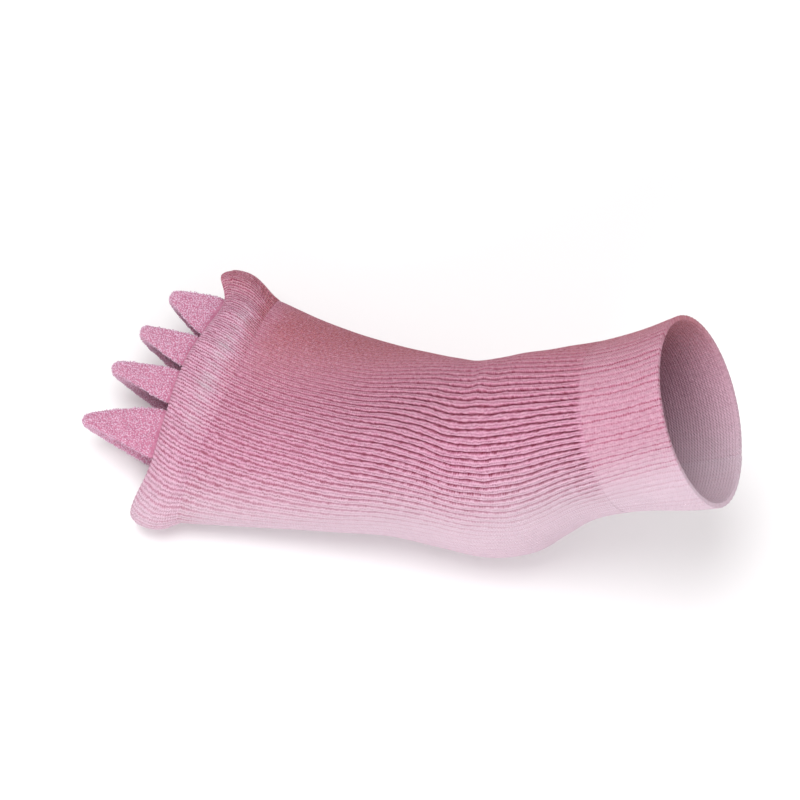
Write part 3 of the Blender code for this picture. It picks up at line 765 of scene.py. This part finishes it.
# the wales fade where the painted light and the painted highlight lie
wales = 0.85 * (1 - 0.6 * hem_low) * (1 - 0.35 * crown * highlight_patches)
hem_marks = {
    "deep": wales,
    "split": wales,
    # painted shade on the far side and by the seam; painted light on the lower edge, the highlight on the
    # crown, and a faint paler tint all over
    "far_side_shade": np.clip(0.8 * bell(hem_places, 0.28, 0.06) + 0.6 * rear * bell(hem_places, 0.33, 0.16), 0, 1),
    "painted_light": np.clip(0.08 + 0.75 * hem_low + 0.80 * crown * highlight_patches, 0, 1),
}
hem = knit_piece("hem", hem_grid, hem_uv, hem_finish, hem_marks)
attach(hem, "root")
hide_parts("toe_hem")
print("hem:", len(hem.data.polygons) * 2, "triangles")

# %% [markdown]
# ## The terry dividers
#
# Each divider is a tongue of towelling that is sewn inside the hem at the top and at the sole.  Half way up
# it is squeezed thin, at the hem it spreads, and it ends in a blunt tip.  Its form is a small net of points
# made smooth with curves in both directions.

# %% Form of a divider
rings_along, points_round = 60, 110
divider_reach, divider_inset, divider_waist = 0.038, 0.006, 0.0055
tip_width, tip_height, clearance = 0.0078, 0.0092, 0.0003
hem_edge = 0.12 * hem_width
dividers = [
    # base    tip    base_width  reach
    (-0.216, -0.240, 0.200, 1.00),
    (-0.024, -0.002, 0.142, 0.97),
    (0.133, 0.177, 0.140, 0.87),
    (0.308, 0.356, 0.190, 0.75),
]
half_outline = np.array([
    # level  at_hem  at_tip
    (-1.00, 0.30, 0.30), (-0.90, 0.52, 0.62), (-0.70, 0.34, 0.82), (-0.40, 0.10, 0.96), (0.00, 0.00, 1.00),
    (0.40, 0.14, 0.96), (0.70, 0.58, 0.82), (0.90, 0.94, 0.62), (1.00, 0.55, 0.30),
])
divider_steps = [
    # place  width  height  size
    (0.00, 1.00, 0.00, 1.0), (0.16, 0.93, 0.06, 1.0), (0.34, 0.76, 0.22, 1.0), (0.52, 0.55, 0.44, 1.0),
    (0.70, 0.33, 0.68, 1.0), (0.85, 0.12, 0.90, 0.96), (0.94, 0.02, 1.00, 0.78), (0.985, 0.00, 1.00, 0.48),
    (1.00, 0.00, 1.00, 0.18),
]


def mouth_heights(section, l):
    """Heights of the hem's inside above and below the middle, at the lateral places l."""
    half, top, bottom, top_p, sole_p = section[3:]
    inset = hem_thickness / 2 - hem_lift + clearance
    share = np.minimum(np.abs(l) / (half - inset), 1.0)
    above = (top - inset) * (1 - share ** top_p) ** (1 / top_p)
    below = (inset - bottom) * (1 - share ** sole_p) ** (1 / sole_p)
    return above, below


hem_front = ring(0.0, np.linspace(0, 1, 361))
hem_girth = np.linalg.norm(np.diff(hem_front, axis=0), axis=1).sum()


def divider_ring(base, tip, base_width, reach, place, width, height, size):
    """One ring round a tongue; `place` goes from 0 at the hem's front to 1 at the tip."""
    around = np.concatenate([half_outline, half_outline[::-1]])
    level = around[:, 0]
    at_hem = divider_waist + (base_width - divider_waist) * around[:, 1]
    at_tip = tip_width * around[:, 2]
    hand = np.repeat([0.5, -0.5], len(half_outline))
    middle = base + (tip - base) * max(place, 0) ** 1.4
    l = middle + size * hand * (width * at_hem + (1 - width) * at_tip)
    length = place * reach
    row = row_after(max(-length, hem_edge))
    section = plane_at(row)
    centre, lateral, upward = section[:3]
    top, bottom = mouth_heights(section, l)
    tip_level = sum(mouth_heights(section, base)) / 2
    top = (1 - height) * top + height * (tip_level + tip_height / 2)
    bottom = (1 - height) * bottom + height * (tip_level - tip_height / 2)
    h = (top + bottom) / 2 + size * level * (top - bottom) / 2
    # the upper edge is sewn to the hem, so it goes forward with the hem's front
    follows = hem_flare(max(-length, hem_edge) / hem_width, 0.5 - l / hem_girth)[1]
    out = length + hem_edge if length >= 0 else 0.0
    out = out + follows * (1 + level) / 2 * (1 - max(place, 0))
    return centre + np.outer(l, lateral) + np.outer(h, upward) + np.outer(out, forward_at(row))


def divider_form(base, tip, base_width, reach):
    """The smooth tongue as rings of points, from inside the hem to the tip."""
    base, tip, base_width = base * foot_width, tip * foot_width, base_width * foot_width
    reach = reach * divider_reach
    steps = [(-divider_inset / reach, 0.8, 0.0, 1.0)] + divider_steps
    net = np.array([divider_ring(base, tip, base_width, reach, *step) for step in steps])
    net = smooth_through(net, rings_along, closed=False)
    return np.swapaxes(smooth_through(np.swapaxes(net, 0, 1), points_round, closed=True), 0, 1)


# %% Towelling
def terry_finish(name, low, high):
    """Towelling in two shades of one pink."""
    material, tree, shader = new_material(name, 0.95, 0.30)
    cloudy = band(tree, speckle(tree, 700.0, 2.0), 0.3, 0.7, 0.0, 1.0)
    colour = blend_colours(tree, cloudy, low, high)
    tree.links.new(colour, shader.inputs["Base Color"])
    tree.links.new(bumps(tree, speckle(tree, 2200.0, 3.0), 0.0003, 0.8), shader.inputs["Normal"])
    return material


terry_ground = terry_finish("terry_ground", (0.44, 0.14, 0.24, 1.0), (0.54, 0.22, 0.33, 1.0))
terry_loops = terry_finish("terry_loops", (0.60, 0.34, 0.47, 1.0), (0.74, 0.51, 0.66, 1.0))


# %% Loops of yarn
bends, corners = 7, 4      # points along the yarn of a loop, and round it
# Half turns of yarn to each side of a loop's top, where it ends below the middle, and how deep it is sunk
loop_arc, loop_foot, sunk = 0.62, 0.37, 0.0002


def loop_tubes(spots, normals, lean, seed, wire=0.00034, tall=0.0010, wide=0.0010):
    """Small arcs of yarn that stand on the ground cloth, as one list of points and quads."""
    rng = np.random.default_rng(seed)
    count = len(spots)
    turn = rng.uniform(0, 2 * math.pi, count)
    side = np.cross(normals, lean)
    side /= np.linalg.norm(side, axis=1, keepdims=True)
    fore = np.cross(side, normals)
    direction = side * np.cos(turn)[:, None] + fore * np.sin(turn)[:, None]
    tilt = rng.normal(0, 0.35, (count, 1)) * np.cross(direction, normals)
    up = normals + tilt
    up /= np.linalg.norm(up, axis=1, keepdims=True)
    size = rng.uniform(0.8, 1.2, (count, 1, 1))
    t = np.linspace(-1, 1, bends)
    arc_x = np.sin(t * loop_arc * math.pi) * 0.5 * wide
    arc_y = (np.cos(t * loop_arc * math.pi) + loop_foot) / (1 + loop_foot) * tall - sunk
    arc = arc_x[None, :, None] * direction[:, None] + arc_y[None, :, None] * up[:, None]
    middle = spots[:, None] + size * arc
    along = np.gradient(middle, axis=1)
    along /= np.linalg.norm(along, axis=2, keepdims=True)
    out = np.cross(direction, up)[:, None] * np.ones((1, bends, 1))
    over = np.cross(along, out)
    angles = np.arange(corners) * 2 * math.pi / corners + math.pi / 4
    tube = (middle[:, :, None] + wire * (np.cos(angles)[None, None, :, None] * out[:, :, None]
                                         + np.sin(angles)[None, None, :, None] * over[:, :, None]))
    points = tube.reshape(-1, 3)
    starts = np.arange(count)[:, None] * bends * corners
    first = starts[:, :, None] + np.arange(bends - 1)[None, :, None] * corners
    k = np.arange(corners)[None, None, :]
    n = (k + 1) % corners
    quads = np.stack([first + k, first + n, first + corners + n, first + corners + k], -1).reshape(-1, 4)
    cap = np.arange(corners)
    caps = np.concatenate([starts + cap[::-1], starts + (bends - 1) * corners + cap])
    return points, np.concatenate([quads, caps])


def add_loops(name, form, seed, row_gap=0.0013, loop_gap=0.00115):
    """Loops in rows round a divider, as towelling is knitted."""
    rng = np.random.default_rng(seed)
    net_normals = normals_of(form, closed_rows=False)
    travelled = measured(form)
    spots, normals, leans = [], [], []
    for number, place in enumerate(np.arange(row_gap, travelled[-1], row_gap)):
        i = np.interp(place, travelled, np.arange(len(form)))
        low = min(int(i), len(form) - 2)
        line = (1 - i + low) * form[low] + (i - low) * form[low + 1]
        closed = np.vstack([line, line[:1]])
        girth = measured(closed)
        count = max(int(girth[-1] / loop_gap), 6)
        steps = np.arange(count) + 0.5 * (number % 2) + rng.normal(0, 0.14, count)
        steps = steps % count / count * girth[-1]
        column = np.interp(steps, girth, np.arange(len(closed)))
        near = column.astype(int) % len(line)
        spots.append(np.stack([np.interp(steps, girth, closed[:, k]) for k in range(3)], 1))
        normals.append(net_normals[low, near])
        leans.append(form[low + 1, near] - form[low, near])
    spots = np.concatenate(spots) + rng.normal(0, 0.00012, (sum(map(len, normals)), 3))
    points, quads = loop_tubes(spots, np.concatenate(normals), np.concatenate(leans) + 1e-9, seed + 1)
    loops = placed(name, points, quads.tolist(), terry_loops)
    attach(loops, "root")
    return loops


# %% Make the dividers
under_hem = 8      # rings of a tongue that lie under the hem and carry no loops


def make_divider(number, divider):
    """A tongue of ground cloth and the loops on it."""
    form = divider_form(*divider)
    loops, points = form.shape[:2]
    quads = grid_quads(loops, points, closed_rows=False)[2]
    caps = [tuple(range(points))[::-1], tuple(range((loops - 1) * points, loops * points))]
    tongue = placed(f"terry_tongue_{number}", form, quads + caps, terry_ground)
    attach(tongue, "root")
    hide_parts(f"toe_divider_{number}")
    loops = add_loops(f"terry_loops_{number}", form[under_hem:], 10 * number)
    print(tongue.name, "with", len(loops.data.polygons) * 2, "triangles of loops")


for number, divider in enumerate(dividers, 1):
    make_divider(number, divider)

# %% [markdown]
# ## Floor, light and camera
#
# The picture is taken from above the inner side of the ankle.  A large soft light on the big toe's side
# makes the lower edge pale and leaves the far side dusky.  The floor and the air around are white.

# %% Floor
floor_mesh = bpy.data.meshes.new("floor")
wave_depth = 0.0011      # the hem's soft waves reach this far below the solids
floor_level = solid_box[0][2] - wave_depth
floor_half = 4
signs = ((-1, -1), (1, -1), (1, 1), (-1, 1))
floor_corners = [(x * floor_half, y * floor_half, floor_level) for x, y in signs]
floor_mesh.from_pydata(floor_corners, [], [(0, 1, 2, 3)])
floor = bpy.data.objects.new("floor", floor_mesh)
bpy.context.scene.collection.objects.link(floor)
floor_paint, _, floor_shader = new_material("floor_paint", 0.9, 0.0)
floor_shader.inputs["Base Color"].default_value = (0.94, 0.94, 0.94, 1.0)
floor_mesh.materials.append(floor_paint)


# %% Light
def soft_light(name, place, aim, size, power):
    light = bpy.data.lights.new(name, "AREA")
    light.shape = "DISK"
    light.size = size
    light.energy = power
    lamp = bpy.data.objects.new(name, light)
    lamp.location = place
    lamp.rotation_euler = (Vector(aim) - Vector(place)).to_track_quat("-Z", "Y").to_euler()
    bpy.context.scene.collection.objects.link(lamp)


middle_of_sock = (-0.03, 0.0, 0.05)
soft_light("window", (0.10, -1.15, 0.60), middle_of_sock, 0.6, 7.8)
soft_light("top_fill", (-0.2, -0.2, 1.5), middle_of_sock, 0.9, 13)
world = bpy.data.worlds.new("studio")
bpy.context.scene.world = world
world.use_nodes = True
world.node_tree.nodes["Background"].inputs["Color"].default_value = (1.0, 0.98, 0.98, 1.0)
world.node_tree.nodes["Background"].inputs["Strength"].default_value = 0.62
bpy.context.scene.view_settings.view_transform = "Standard"

# %% Camera
azimuth, elevation = math.radians(18.5), math.radians(60)
level = math.cos(elevation)
back = Vector((math.sin(azimuth) * level, -math.cos(azimuth) * level, math.sin(elevation)))
right = Vector((math.cos(azimuth), math.sin(azimuth), 0.0))
upright = back.cross(right)
pixel, distance = 0.00043, 1.1      # metres in a pixel at the heel seat, and from there to the lens
picture, heel_x, heel_y = 800, 500, 517      # pixels: the picture's width, and where the heel seat shows
target = (picture / 2 - heel_x) * pixel * right + (heel_y - picture / 2) * pixel * upright
lens = bpy.data.cameras.new("camera")
lens.sensor_width = 36.0
lens.lens = lens.sensor_width * distance / (picture * pixel)
camera = bpy.data.objects.new("camera", lens)
turned = Matrix((right, upright, back)).transposed().to_4x4()
camera.matrix_world = Matrix.Translation(target + distance * back) @ turned
bpy.context.scene.collection.objects.link(camera)
bpy.context.scene.camera = camera
print("lens:", round(lens.lens, 1), "mm")
